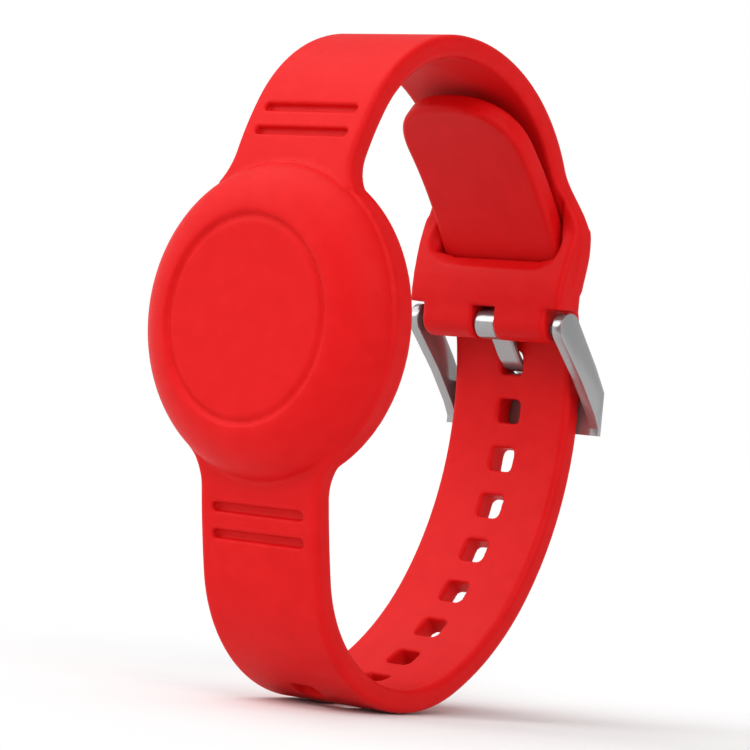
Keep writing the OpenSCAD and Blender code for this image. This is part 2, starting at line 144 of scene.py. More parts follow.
# the slope around the window: its widest and narrowest reach, its top, and the opening's corner
SLOPE_WIDE, SLOPE_NARROW, SLOPE_TOP, SLOPE_CORNER = 1.75, 0.35, 25, 3.2

# buckle: PLATE and PLATE_Z are the crossbar's near and far faces, and its bottom and top
FRAME_HALF, ARM_T, EAR_R = 13.2, 1.5, 2.1
PLATE = (26.97, 27.65)
PLATE_Z = (-5.8, 0.1)
ARM_INNER = [(22.5, 1.2), (25.9, -3.0), (PLATE[0], -4.8)]
ARM_OUTER = (25.3, 3.4)
FRAME_EDGE = 0.2
BARREL_R, TONGUE_HALF = 2.05, 1.8
TONGUE_LINE = [
    (19.5, 7.1), (20.6, 6.7), (21.5, 5.9), (22.9, 4.1), (24.1, 3),
    (25.4, 2.47), (26.6, 2.52), (27.75, 1.7), (28.15, 0.3), (28.15, -4.6)
]
TONGUE_T = 0.9
# distances along the tongue, and its half widths at them
TONGUE_WIDTHS = ([0, 5, 9, 16], [1.8, 1.78, 1.72, 1.5])

# view, lights and floor; angles in degrees, and the rest in metres
VIEW_ANGLES = (40.45, -0.71, 5.52)
VIEW_TARGET = Vector((0, -31, 5)) * MM
VIEW_DISTANCE, VIEW_RIGHT, VIEW_DOWN = 0.469, 0.01638, 0.0075
LENS_MM, SENSOR_MM = 179.6, 36
LIGHTS = (
    ("key", (-0.35, -0.3, 0.88), 2.1, 70),
    ("fill", (0.72, -0.42, 0.55), 1.35, 50),
    ("kicker", (-0.65, -0.65, 0.38), 0.5, 24),
)
# the sky's brightness falls from 1 to the last value between two places along each axis
SKY_FALLS = (("Z", 0.16, 0.4, 0.45), ("X", 0.25, 0.6, 0.6))
FLOOR_HALF, FLOOR_GAP = 6.0, 0.0002


# --- Arc chains ---------------------------------------------------------------


def left_of(heading):
    """The direction to the left of a heading, in the YZ plane."""
    return np.stack([-np.sin(heading), np.cos(heading)], -1)


class Chain:
    """A line in the YZ plane made of tangent arcs, each given as (radius, turn in degrees)."""

    def __init__(self, start, heading, arcs):
        p, h, s = np.array(start, float), math.radians(heading), 0.0
        self.arcs = []
        for radius, turn in arcs:
            r, sweep = math.copysign(radius, turn), math.radians(turn)
            centre = p + r * left_of(h)
            self.arcs.append((centre, r, h, sweep, s))
            h += sweep
            p = centre - r * left_of(h)
            s += r * sweep
        self.length = s

    def at(self, s):
        """Points and headings at distances s."""
        s = np.asarray(s, float)
        starts = np.array([a[4] for a in self.arcs])
        which = np.clip(np.searchsorted(starts, s, "right") - 1, 0, len(self.arcs) - 1)
        centres = np.array([a[0] for a in self.arcs])[which]
        r = np.array([a[1] for a in self.arcs])[which]
        h = np.array([a[2] for a in self.arcs])[which] + (s - starts[which]) / r
        return centres - r[..., None] * left_of(h), h

    def coords(self, y, z):
        """Distance along the line, and distance to its left, of points in the plane."""
        best = np.full(y.shape, np.inf)
        along, left = np.zeros(y.shape), np.zeros(y.shape)
        for i, (c, r, h0, sweep, s0) in enumerate(self.arcs):
            vy, vz = y - c[0], z - c[1]
            side = math.copysign(1.0, r)
            h = np.arctan2(vy * side, -vz * side)
            turn = (h - h0 - sweep / 2 + math.pi) % (2 * math.pi) - math.pi + sweep / 2
            kept = np.clip(turn, min(0, sweep), max(0, sweep))
            hk = h0 + kept
            py, pz = c[0] + r * np.sin(hk), c[1] - r * np.cos(hk)
            dy, dz = y - py, z - pz
            d = dy * dy + dz * dz
            s = s0 + r * kept
            if i == 0 or i == len(self.arcs) - 1:
                s = s + np.where(turn != kept, dy * np.cos(hk) + dz * np.sin(hk), 0)
            n = -dy * np.sin(hk) + dz * np.cos(hk)
            closer = d < best
            best = np.where(closer, d, best)
            along, left = np.where(closer, s, along), np.where(closer, n, left)
        return along, left


UPPER = Chain((-26.15, 22), 77, [(45.4, -16), (19.9, -61), (25.6, -60), (27, -40)])
LOWER_ARCS = [(143.4, 6.5), (20.18, 106.84), (37.66, 26.82), (47.39, 45.33), (42.33, 18.51)]
LOWER = Chain((-26.15, -12), -84, LOWER_ARCS + [(64.6, 22)])
HINGE = Chain((-26.15, -12), -84, LOWER_ARCS).length


# --- Distance fields ----------------------------------------------------------


def smooth_min(a, b, k):
    h = np.clip(0.5 + 0.5 * (b - a) / k, 0, 1)
    return b * (1 - h) + a * h - k * h * (1 - h)


def smooth_max(a, b, k):
    return -smooth_min(-a, -b, k)


def rounded(a, b, r):
    """Distance to the corner of two half spaces a and b, rounded by r."""
    a, b = a + r, b + r
    return np.hypot(np.maximum(a, 0), np.maximum(b, 0)) + np.minimum(np.maximum(a, b), 0) - r


def cut(field, cutter, k):
    """The field with the cutter's inside taken away, and the new edge rounded over k."""
    return smooth_max(field, -cutter, k)


def polygon_field(u, v, points):
    """Signed distance to a closed outline, negative inside."""
    best = np.full(u.shape, np.inf)
    inside = np.zeros(u.shape, bool)
    for (u0, v0), (u1, v1) in zip(points, points[1:] + points[:1]):
        eu, ev = u1 - u0, v1 - v0
        if eu == ev == 0:
            continue
        t = np.clip(((u - u0) * eu + (v - v0) * ev) / (eu * eu + ev * ev), 0, 1)
        best = np.minimum(best, (u - u0 - t * eu) ** 2 + (v - v0 - t * ev) ** 2)
        if ev != 0:
            crosses = ((v0 <= v) != (v1 <= v)) & (u < u0 + (v - v0) * eu / ev)
            inside ^= crosses
    return np.where(inside, -1, 1) * np.sqrt(best)


def line_field(u, v, points):
    """Distance to an open line of points, and how far along it the nearest place is."""
    best, along, s = np.full(u.shape, np.inf), np.zeros(u.shape), 0.0
    for (u0, v0), (u1, v1) in zip(points, points[1:]):
        eu, ev = u1 - u0, v1 - v0
        size = math.hypot(eu, ev)
        t = np.clip(((u - u0) * eu + (v - v0) * ev) / size**2, 0, 1)
        d = np.hypot(u - u0 - t * eu, v - v0 - t * ev)
        closer = d < best
        best, along = np.where(closer, d, best), np.where(closer, s + t * size, along)
        s += size
    return best, along


def smooth_step(t):
    t = np.clip(t, 0, 1)
    return t * t * (3 - 2 * t)


def superellipse(r, depth, power, n=24):
    """Points from the axis out to the rim of a dome of that radius and depth."""
    angles = [math.pi / 2 * k / n for k in range(n + 1)]
    p = 2 / power
    return [(r * math.sin(a) ** p, depth * (1 - max(0, math.cos(a)) ** p)) for a in angles]


def corner(u, v, r, a0, a1, n=5):
    """Points round a corner of radius r about (u, v), from a0 to a1 degrees."""
    steps = [math.radians(a0 + (a1 - a0) * k / n) for k in range(n + 1)]
    return [(u + r * math.cos(a), v + r * math.sin(a)) for a in steps]


# --- Silicone -----------------------------------------------------------------


def pod_outline():
    """Outer half section of the pod as (radius, depth), without its pocket."""
    dome = [(FACE_R + u, v) for u, v in superellipse(DOME_R - FACE_R, DOME_DEPTH, DOME_POWER, 16)]
    back = DOME_DEPTH + FLANGE_T
    rim = TAG_FRONT + TAG_H + 0.1 - POD_FRONT
    inner = RING_R - RING_W
    ring = [(inner - 0.3, PANEL_DEPTH), (inner - 0.08, PANEL_DEPTH + 0.1), (inner + 0.1, RING_DEPTH - 0.08)]
    ring += [(inner + 0.3, RING_DEPTH), (RING_R - 0.3, RING_DEPTH), (RING_R - 0.08, RING_DEPTH - 0.1)]
    ring += [(RING_R + 0.08, 0.12), (RING_R + 0.3, 0)]
    flange = corner(FLANGE_R - FLANGE_FRONT_R, DOME_DEPTH + FLANGE_FRONT_R, FLANGE_FRONT_R, -90, 0)
    flange += corner(FLANGE_R - FLANGE_BACK_R, back - FLANGE_BACK_R, FLANGE_BACK_R, 0, 90)
    step = [(r, back + rise) for r, rise in REAR_STEP]
    lip = corner(REAR_LIP_R, rim - REAR_LIP_EDGE, REAR_LIP_EDGE, 0, 90)
    return [(-1, PANEL_DEPTH)] + ring + dome + flange + step + lip + [(-1, rim)]


def pocket_outline():
    """Half section of the tracker's pocket, as (radius, depth behind the tracker's front)."""
    r, gap = TAG_R + POCKET_GAP, POCKET_GAP
    front = [(u, v - gap) for u, v in superellipse(r, TAG_MID + 2 * gap, TAG_POWER, 16)]
    return [(-1, -gap)] + front + [(r, 12), (-1, 12)]


POD_OUTLINE = pod_outline()
POCKET_OUTLINE = [(u, v + TAG_FRONT - POD_FRONT) for u, v in pocket_outline()]
TAB_OUTLINE = TAB_INNER + TAB_OUTER


def root_half(z):
    """Half width of the strap where it grows out of the flange."""
    reach = FLANGE_R + ROOT_FILLET
    tangent = math.sqrt(reach**2 - (STRAP_HALF + ROOT_FILLET) ** 2)
    lowest = tangent * FLANGE_R / reach
    drop = tangent - np.clip(np.abs(z - POD_Z), lowest, tangent)
    return STRAP_HALF + ROOT_FILLET - np.sqrt(ROOT_FILLET**2 - drop**2)


def end_half(z):
    """Half width of the buckle end at height z: it flares, then narrows to the shoulder."""
    flare = STRAP_HALF + (END_HALF - STRAP_HALF) * smooth_step((29.2 - z) / 9)
    return np.where(z > 20.2, flare, END_HALF - END_TAPER * smooth_step((19.5 - z) / 6.5))


def groove_field(x, s, n):
    """The two grip grooves across a strap, with round ends."""
    out = np.full(x.shape, np.inf)
    for place in GROOVES:
        d = np.hypot(np.maximum(np.abs(x) - GROOVE_HALF, 0), s - place) - GROOVE_R
        out = np.minimum(out, d)
    return smooth_max(out, n - GROOVE_DEPTH, 0.3)


def hole_field(x, s):
    """The row of pin holes, as rounded rectangles."""
    out = np.full(x.shape, np.inf)
    for place in HOLES:
        hole = rounded(np.abs(x) - HOLE_HALF_W, np.abs(s - place) - HOLE_HALF_L, HOLE_CORNER)
        out = np.minimum(out, hole)
    return out


def strap_field(x, s, n, half):
    """A strap of that half width; n is the depth below its outer surface."""
    return rounded(np.abs(x) - half, np.abs(n - STRAP_T / 2) - STRAP_T / 2, EDGE_R)


def upper_field(x, y, z):
    """The short strap, from the pod over the top to the buckle."""
    s, left = UPPER.coords(y, z)
    n = -left
    half = np.where(y < 0, root_half(z), end_half(z))
    d = smooth_max(strap_field(x, s, n, half), s - UPPER.length, 0.2)
    d = smooth_max(d, -s, 0.2)
    d = cut(d, groove_field(x, s, n), 0.2)
    near = (y > 8) & (z < 34)
    d[near] = buckle_end(d[near], x[near], y[near], z[near], half[near])
    return d


def buckle_end(d, x, y, z, width):
    """Adds the tab and the rails to the strap's field, and cuts the window and the buckle's seats."""
    side = np.minimum(
        polygon_field(y, z, TAB_OUTLINE), np.hypot(y - TAB_BOTTOM[0], z - TAB_BOTTOM[1]) - TAB_BOTTOM_R
    )
    rails = np.maximum(rounded(side, np.abs(x) - width, TAB_EDGE_R), SHOULDER_Z - z)
    d = smooth_min(d, np.minimum(rails, rounded(side, np.abs(x) - TAB_HALF, TAB_EDGE_R)), 0.6)
    across = np.abs(x) - WINDOW_HALF
    window = np.minimum(np.maximum(z - WINDOW_TOP, LIP_Z - z), polygon_field(y, z, WINDOW_SLOPE))
    way_out = polygon_field(y, z, LIP_OUTER)
    d = cut(d, np.maximum(np.minimum(window, way_out), across), 0.5)
    # a slope around the window's inner side, which fades out up the rails and stops at the window's wall
    spread = SLOPE_WIDE - (SLOPE_WIDE - SLOPE_NARROW) * smooth_step((z - 17) / 6)
    opening = np.maximum(rounded(across, LIP_Z - z, SLOPE_CORNER), z - SLOPE_TOP)
    around = 0.75 * (opening - spread) + 0.66 * (y - np.interp(z, *INNER_FACE))
    wall_y, wall_z = WINDOW_SLOPE[0]
    wall = WINDOW_WALL[0] * (y - wall_y) + WINDOW_WALL[1] * (z - wall_z)
    d = cut(d, np.maximum(around, wall), 0.18)
    d = cut(d, np.maximum(TAB_HALF - np.abs(x), z - SHOULDER_Z), 0.25)
    d = cut(d, np.maximum(np.abs(x) - SLOT_HALF, z - SHOULDER_Z), 0.2)
    return cut(d, np.hypot(y - BAR_Y, z - BAR_Z) - BAR_BORE_R, 0.1)


def lower_field(x, y, z):
    """The long strap with its holes, from the pod under the wrist to a little past the seam."""
    s, n = LOWER.coords(y, z)
    half = np.where(y < -15, root_half(z), STRAP_HALF)
    d = strap_field(x, s, n, half)
    d = smooth_max(d, -s, 0.2)
    d = np.maximum(d, s - SEAM - 3)
    d = cut(d, groove_field(x, s, n), 0.2)
    return cut(d, hole_field(x, s), 0.35)


def band_field(p):
    """The pod and both straps as one moulding, with the tracker's pocket."""
    x, y, z = p.T
    r, depth = np.hypot(x, z - POD_Z), y - POD_FRONT
    straps = np.minimum(upper_field(x, y, z), lower_field(x, y, z))
    near = (r < FLANGE_R + 4) & (depth < 14)
    d = straps.copy()
    pod = polygon_field(r[near], depth[near], POD_OUTLINE)
    pocket = polygon_field(r[near], depth[near], POCKET_OUTLINE)
    d[near] = cut(smooth_min(straps[near], pod, 0.3), pocket, 0.3)
    return d


def tail_half(s):
    """Half width of the tail, which ends in a rounded tip."""
    q = np.clip((s - LOWER.length + TIP_LEN) / TIP_LEN, 0, 0.9999)
    return STRAP_HALF * (1 - q**TIP_POWER) ** (1 / TIP_POWER)


def tail_outline():
    """The tail seen flat, as (across, along)."""
    s = LOWER.length - TIP_LEN * np.linspace(1, 0, 24) ** 2
    w = tail_half(s)
    right = list(zip(w.tolist(), s.tolist()))
    left = [(-u, v) for u, v in reversed(right)]
    return [(STRAP_HALF, SEAM - 3)] + right + left + [(-STRAP_HALF, SEAM - 3)]


TAIL_OUTLINE = tail_outline()


def tail_field(p):
    """The tail in flat coordinates: across, along, and depth below the outer surface."""
    x, s, n = p.T
    return rounded(polygon_field(x, s, TAIL_OUTLINE), np.abs(n - STRAP_T / 2) - STRAP_T / 2, EDGE_R)


# --- Meshing ------------------------------------------------------------------

CORNERS = np.array([(i, j, k) for i in (0, 1) for j in (0, 1) for k in (0, 1)])
EDGES = [(a, b) for a in range(8) for b in range(a + 1, 8) if np.abs(CORNERS[a] - CORNERS[b]).sum() == 1]


def surface_net(field, low, high, step, coarse=4, margin=1.15):
    """Vertices and quads of the surface where field is zero, on a grid of that step.

    Coarse blocks further than margin block sizes from the surface are skipped.
    """
    low, high = np.array(low, float), np.array(high, float)
    block = step * coarse
    counts = np.ceil((high - low) / block).astype(int)
    blocks = np.stack(np.meshgrid(*[np.arange(c) for c in counts], indexing="ij"), -1).reshape(-1, 3)
    near = np.abs(field(low + (blocks + 0.5) * block)) < margin * block
    inner = np.stack(np.meshgrid(*[np.arange(coarse)] * 3, indexing="ij"), -1).reshape(-1, 3)
    cells = (blocks[near][:, None] * coarse + inner[None]).reshape(-1, 3)

    size = counts * coarse + 2
    weight = np.array([size[1] * size[2], size[2], 1])
    corner_ids = (cells[:, None] + CORNERS[None]) @ weight
    ids, back = np.unique(corner_ids, return_inverse=True)
    places = np.stack([ids // weight[0], ids % weight[0] // weight[1], ids % weight[1]], -1)
    values = field(low + places * step)
    at = values[back.reshape(corner_ids.shape)]

    active = (at.min(1) < 0) & (at.max(1) >= 0)
    cells, at = cells[active], at[active]
    total, hits = np.zeros((len(cells), 3)), np.zeros(len(cells))
    for a, b in EDGES:
        va, vb = at[:, a], at[:, b]
        crossed = (va < 0) != (vb < 0)
        t = np.where(crossed, va / np.where(crossed, va - vb, 1), 0)
        point = CORNERS[a] + t[:, None] * (CORNERS[b] - CORNERS[a])
        total += np.where(crossed[:, None], point, 0)
        hits += crossed
    vertices = low + (cells + total / hits[:, None]) * step

    cell_ids = cells @ weight
    order = np.argsort(cell_ids)
    sorted_ids = cell_ids[order]
    quads = []
    for axis in range(3):
        far = np.zeros(3, int)
        far[axis] = 1
        end = int(np.where((CORNERS == far).all(1))[0][0])
        a, b = at[:, 0] < 0, at[:, end] < 0
        u, v = [np.eye(3, dtype=int)[(axis + k) % 3] for k in (1, 2)]
        ring = [np.zeros(3, int), -u, -u - v, -v]
        for flip, chosen in ((False, a & ~b), (True, ~a & b)):
            ids4 = np.stack([(cells[chosen] + o) @ weight for o in ring], -1)
            slot = np.clip(np.searchsorted(sorted_ids, ids4), 0, len(sorted_ids) - 1)
            good = (sorted_ids[slot] == ids4).all(1)
            quad = order[slot][good]
            quads.append(quad[:, ::-1] if flip else quad)
    return vertices, np.concatenate(quads)


def gradient(field, p, eps=0.01):
    grads = [field(p + eps * e) - field(p - eps * e) for e in np.eye(3)]
    return np.stack(grads, -1) / (2 * eps)


def settle(field, p, rounds=3):
    """Moves points onto the surface of the field."""
    for _ in range(rounds):
        g = gradient(field, p)
        g /= np.maximum((g * g).sum(1), 0.2)[:, None]
        p = p - np.clip(field(p)[:, None] * g, -0.15, 0.15)
    return p


def add_to_scene(name, data):
    obj = bpy.data.objects.new(name, data)
    bpy.context.scene.collection.objects.link(obj)
    return obj


def make_object(name, vertices, faces, scale=MM):
    mesh = bpy.data.meshes.new(name)
    mesh.from_pydata((np.asarray(vertices) * scale).tolist(), [], [list(map(int, f)) for f in faces])
    mesh.shade_smooth()
    return add_to_scene(name, mesh)


@contextmanager
def editing(obj):
    """Opens an object's mesh for editing, and writes it back afterwards."""
    bm = bmesh.new()
    bm.from_mesh(obj.data)
    yield bm
    bm.to_mesh(obj.data)
    bm.free()


def apply_modifiers(obj):
    bpy.context.view_layer.update()
    evaluated = obj.evaluated_get(bpy.context.evaluated_depsgraph_get())
    mesh = bpy.data.meshes.new_from_object(evaluated)
    obj.modifiers.clear()
    obj.data = mesh


def slice_flat(obj, point, normal, chosen=None):
    """Cuts the chosen faces at a plane, drops what lies past it and closes the cut with a flat face."""
    with editing(obj) as bm:
        bm.faces.ensure_lookup_table()
        faces = list(bm.faces) if chosen is None else [bm.faces[i] for i in chosen]
        geom = list({e for f in faces for e in f.edges} | {v for f in faces for v in f.verts}) + faces
        done = bmesh.ops.bisect_plane(
            bm, geom=geom, plane_co=point, plane_no=normal, clear_outer=True, dist=1e-7
        )
        rim = [e for e in done["geom_cut"] if isinstance(e, bmesh.types.BMEdge)]
        for f in bmesh.ops.contextual_create(bm, geom=rim)["faces"]:
            f.smooth = False
        for e in rim:
            e.smooth = False
        bmesh.ops.recalc_face_normals(bm, faces=bm.faces)
    return obj


def lathe(name, outline, turns=160, axis_y=0.0):
    """A closed turned piece from its half section, as (radius, depth), about the tracker's axis."""
    angles = [2 * math.pi * k / turns for k in range(turns)]
    vertices, rings = [], []
    for r, depth in outline:
        y = axis_y + depth
        if r <= 1e-6:
            rings.append([len(vertices)] * turns)
            vertices.append((0, y, POD_Z))
        else:
            rings.append(list(range(len(vertices), len(vertices) + turns)))
            vertices += [(r * math.cos(a), y, POD_Z + r * math.sin(a)) for a in angles]
    faces = []
    for a, b in zip(rings, rings[1:] + rings[:1]):
        for k in range(turns):
            m = (k + 1) % turns
            quad = list(dict.fromkeys([a[k], a[m], b[m], b[k]]))
            if len(quad) > 2:
                faces.append(quad)
    obj = make_object(name, vertices, faces)
    with editing(obj) as bm:
        bmesh.ops.recalc_face_normals(bm, faces=bm.faces)
    return obj


def sharpen(obj, degrees=35):
    """Smooth shading that stops at edges steeper than that."""
    with editing(obj) as bm:
        for e in bm.edges:
            if len(e.link_faces) == 2 and e.calc_face_angle(0) > math.radians(degrees):
                e.smooth = False
    return obj


# --- Pieces -------------------------------------------------------------------


def silicone_band():
    """The moulding, cut flat at the seam where the tail goes on."""
    vertices, faces = surface_net(band_field, (-21.6, -32.6, -45), (21.6, 28.2, 45.5), 0.34)
    obj = make_object("silicone_band", settle(band_field, vertices), faces)
    (y, z), h = LOWER.at(SEAM)
    centres = vertices[faces].mean(1)
    s, n = LOWER.coords(centres[:, 1], centres[:, 2])
    on_strap = (np.abs(s - SEAM) < 4.5) & (n > -0.8) & (n < STRAP_T + 0.8)
    chosen = np.where(on_strap)[0].tolist()
    return slice_flat(obj, (0, y * MM, z * MM), (0, math.cos(h), math.sin(h)), chosen)


def strap_tail_skin():
    """The tail, meshed flat and then bent along the strap's line."""
    low, high = (-10.6, SEAM - 2, -0.6), (10.6, LOWER.length + 0.7, 3.6)
    flat, faces = surface_net(tail_field, low, high, 0.3)
    flat = settle(tail_field, flat)
    points, h = LOWER.at(flat[:, 1])
    bent = points + flat[:, 2:] * left_of(h)
    obj = make_object("strap_tail_skin", np.column_stack([flat[:, 0], bent]), faces)
    (y, z), h = LOWER.at(SEAM)
    return slice_flat(obj, (0, y * MM, z * MM), (0, -math.cos(h), -math.sin(h)))


def curve_through(points, n=6):
    """A smooth line of points through the given ones."""
    p = [np.array(q, float) for q in [points[0], *points, points[-1]]]
    out = []
    for a, b, c, d in zip(p, p[1:], p[2:], p[3:]):
        for k in range(n):
            t = k / n
            linear, square, cube = c - a, 2 * a - 5 * b + 4 * c - d, 3 * b - a - 3 * c + d
            out.append(0.5 * (2 * b + linear * t + square * t**2 + cube * t**3))
    return [tuple(q) for q in out] + [tuple(p[-1])]


TONGUE_CURVE = curve_through(TONGUE_LINE)


def tongue_field(p):
    """The tongue: a barrel around the spring bar, and a bent strip that narrows towards its tip."""
    x, y, z = p.T
    around = np.hypot(y - BAR_Y, z - BAR_Z)
    barrel = rounded(around - BARREL_R, np.abs(x) - TONGUE_HALF, 0.25)
    d, s = line_field(y, z, TONGUE_CURVE)
    half = np.interp(s, *TONGUE_WIDTHS)
    shank = rounded(d - TONGUE_T / 2, np.abs(x) - half, 0.28)
    return cut(smooth_min(barrel, shank, 0.5), around - BAR_BORE_R, 0.12)


def buckle_tongue_polished():
    vertices, faces = surface_net(tongue_field, (-2.2, 16.3, -5.8), (2.2, 29.2, 10.5), 0.11)
    return make_object("buckle_tongue_polished", settle(tongue_field, vertices), faces)


def arm_outline():
    """Side outline of an arm: round the ear, out along the arm and back along its inner edge."""
    start, end = math.degrees(math.atan2(1.1, 1.8)), math.degrees(math.atan2(-1.3, -1.65)) + 360
    ear = corner(BAR_Y, BAR_Z, EAR_R, start, end, 28)
    foot = [(PLATE[0], PLATE_Z[0]), (PLATE[1], PLATE_Z[0]), (PLATE[1], PLATE_Z[1])]
    return ear + ARM_INNER + foot + [ARM_OUTER]


def prism(bm, outline, x0, x1):
    """Adds a closed solid with a side outline, between two places across the strap."""
    near = [bm.verts.new((x0, y, z)) for y, z in outline]
    far = [bm.verts.new((x1, y, z)) for y, z in outline]
    bm.faces.new(near)
    bm.faces.new(far[::-1])
    for i in range(len(outline)):
        k = (i + 1) % len(outline)
        bm.faces.new((near[i], far[i], far[k], near[k]))


def solid(name, parts):
    """An object made of prisms, each given as (side outline, near place, far place)."""
    bm = bmesh.new()
    for outline, x0, x1 in parts:
        prism(bm, outline, x0, x1)
    bmesh.ops.scale(bm, vec=(MM, MM, MM), verts=bm.verts)
    bmesh.ops.recalc_face_normals(bm, faces=bm.faces)
    mesh = bpy.data.meshes.new(name)
    bm.to_mesh(mesh)
    bm.free()
    return add_to_scene(name, mesh)


def buckle_frame_polished():
    """Two arms joined by a crossbar, with every edge rounded."""
    arms = [(arm_outline(), s * (FRAME_HALF - ARM_T), s * FRAME_HALF) for s in (-1, 1)]
    obj = solid("buckle_frame_polished", arms)
    bar = [(PLATE[0], PLATE_Z[0]), (PLATE[1], PLATE_Z[0]), (PLATE[1], PLATE_Z[1]), (PLATE[0], PLATE_Z[1])]
    bar_obj = solid("crossbar", [(bar, -FRAME_HALF, FRAME_HALF)])
    join = obj.modifiers.new("join", "BOOLEAN")
    join.operation, join.object, join.solver = "UNION", bar_obj, "EXACT"
    apply_modifiers(obj)
    bpy.data.objects.remove(bar_obj)
    bevel = obj.modifiers.new("bevel", "BEVEL")
    bevel.width, bevel.segments = FRAME_EDGE * MM, 3
    bevel.limit_method, bevel.angle_limit = "ANGLE", math.radians(35)
    apply_modifiers(obj)
    obj.data.shade_smooth()
    return sharpen(obj, 28)


def back_depth(r):
    """Depth of the tracker's rear surface at a radius."""
    return TAG_MID + (TAG_H - TAG_MID) * (1 - (r / TAG_R) ** TAG_POWER) ** (1 / TAG_POWER)


def tracker_front():
    outer = superellipse(TAG_R, TAG_MID, TAG_POWER, 28)
    inner = [(u, v + SHELL_T) for u, v in superellipse(TAG_R - SHELL_T, TAG_MID - SHELL_T, TAG_POWER, 20)]
    return sharpen(lathe("tracker_front", outer + inner[::-1], axis_y=TAG_FRONT))


def tracker_rear_ring():
    gap = 0.02
    radii = [TAG_R - (TAG_R - REAR_RING_IN) * (k / 14) ** 2 for k in range(15)]
    outer = [(r, back_depth(r) + (gap if k == 0 else 0)) for k, r in enumerate(radii)]
    inner = [(REAR_RING_IN, REAR_RING_BACK), (REAR_RING_SEAT, REAR_RING_BACK)]
    outline = [(REAR_RING_SEAT, TAG_MID + gap)] + outer + inner
    return sharpen(lathe("tracker_rear_ring", outline, axis_y=TAG_FRONT))


def tracker_cover():
    edge = COVER_R - COVER_EDGE_R
    radii = [edge * k / 20 for k in range(21)]
    outer = [(r, back_depth(r)) for r in radii]
    roll = corner(edge, back_depth(edge) - COVER_EDGE_R, COVER_EDGE_R, 80, 0, 5)
    skirt = [(COVER_R, COVER_SKIRT), (COVER_R - COVER_T, COVER_SKIRT)]
    inner = [(r, back_depth(r) - COVER_T) for r in radii[::-1]]
    return sharpen(lathe("tracker_cover", outer + roll + skirt + inner, axis_y=TAG_FRONT))


# --- Materials ----------------------------------------------------------------


def new_material(name, color, roughness, metallic=0.0):
    material = bpy.data.materials.new(name)
    material.use_nodes = True
    shader = material.node_tree.nodes["Principled BSDF"]
    shader.inputs["Base Color"].default_value = (*color, 1)
    shader.inputs["Roughness"].default_value = roughness
    shader.inputs["Metallic"].default_value = metallic
    return material, material.node_tree, shader


def place(tree):
    """A point's place on its own object."""
    return tree.nodes.new("ShaderNodeTexCoord").outputs["Object"]


def noise(tree, per_mm, detail=3.0, rough=0.5):
    """Cloudy noise with about that many lumps to a millimetre."""
    node = tree.nodes.new("ShaderNodeTexNoise")
    node.inputs["Scale"].default_value = per_mm / MM
    node.inputs["Detail"].default_value = detail
    node.inputs["Roughness"].default_value = rough
    tree.links.new(place(tree), node.inputs["Vector"])
    return node.outputs["Fac"]


def vary(tree, shader, socket, fac, low, high):
    """Drives a value or colour between low and high by a texture."""
    ramp = tree.nodes.new("ShaderNodeValToRGB")
    as_color = (lambda v: (v, v, v, 1)) if isinstance(low, float) else (lambda v: (*v, 1))
    ramp.color_ramp.elements[0].position, ramp.color_ramp.elements[1].position = 0.3, 0.7
    ramp.color_ramp.elements[0].color, ramp.color_ramp.elements[1].color = as_color(low), as_color(high)
    tree.links.new(fac, ramp.inputs["Fac"])
    tree.links.new(ramp.outputs["Color"], shader.inputs[socket])


def bump(tree, shader, fac, height_mm, strength=1.0):
    node = tree.nodes.new("ShaderNodeBump")
    node.inputs["Strength"].default_value = strength
    node.inputs["Distance"].default_value = height_mm * MM
    tree.links.new(fac, node.inputs["Height"])
    tree.links.new(node.outputs["Normal"], shader.inputs["Normal"])


def silicone():
    """Saturated red moulded silicone: satin, with a very fine mould grain."""
    material, tree, shader = new_material("silicone_red", (0.62, 0.004, 0.005), 0.5)
    vary(tree, shader, "Base Color", noise(tree, 0.35, 4), (0.60, 0.003, 0.004), (0.64, 0.005, 0.006))
    vary(tree, shader, "Roughness", noise(tree, 2.5, 3), 0.46, 0.56)
    bump(tree, shader, noise(tree, 9.0, 2), 0.006, 0.6)
    shader.inputs["Subsurface Weight"].default_value = 0.12
    shader.inputs["Subsurface Radius"].default_value = (1.0, 0.15, 0.1)
    shader.inputs["Subsurface Scale"].default_value = 0.6 * MM
    shader.inputs["Specular IOR Level"].default_value = 0.11
    return material


def steel(name="steel_polished", roughness=0.17, tone=0.36):
    """Polished stainless steel with faint polishing marks."""
    material, tree, shader = new_material(name, (tone, tone, tone * 1.01), roughness, 0.7)
    vary(tree, shader, "Roughness", noise(tree, 1.6, 5, 0.6), roughness * 0.8, roughness * 1.5)
    stretch = tree.nodes.new("ShaderNodeMapping")
    stretch.inputs["Scale"].default_value = (0.08, 1, 1)
    marks = tree.nodes.new("ShaderNodeTexNoise")
    marks.inputs["Scale"].default_value = 14 / MM
    tree.links.new(place(tree), stretch.inputs["Vector"])
    tree.links.new(stretch.outputs["Vector"], marks.inputs["Vector"])
    bump(tree, shader, marks.outputs["Fac"], 0.0005, 0.1)
    return material


def plain(name, color, roughness, metallic=0.0, grain=4.0, height=0.004):
    """A moulded, plated or cast surface with a light grain."""
    material, tree, shader = new_material(name, color, roughness, metallic)
    dark = tuple(0.9 * c for c in color)
    vary(tree, shader, "Base Color", noise(tree, grain / 4, 3), dark, color)
    vary(tree, shader, "Roughness", noise(tree, grain, 2), roughness * 0.85, min(1.0, roughness * 1.15))
    bump(tree, shader, noise(tree, grain * 2, 2), height, 0.4)
    return material


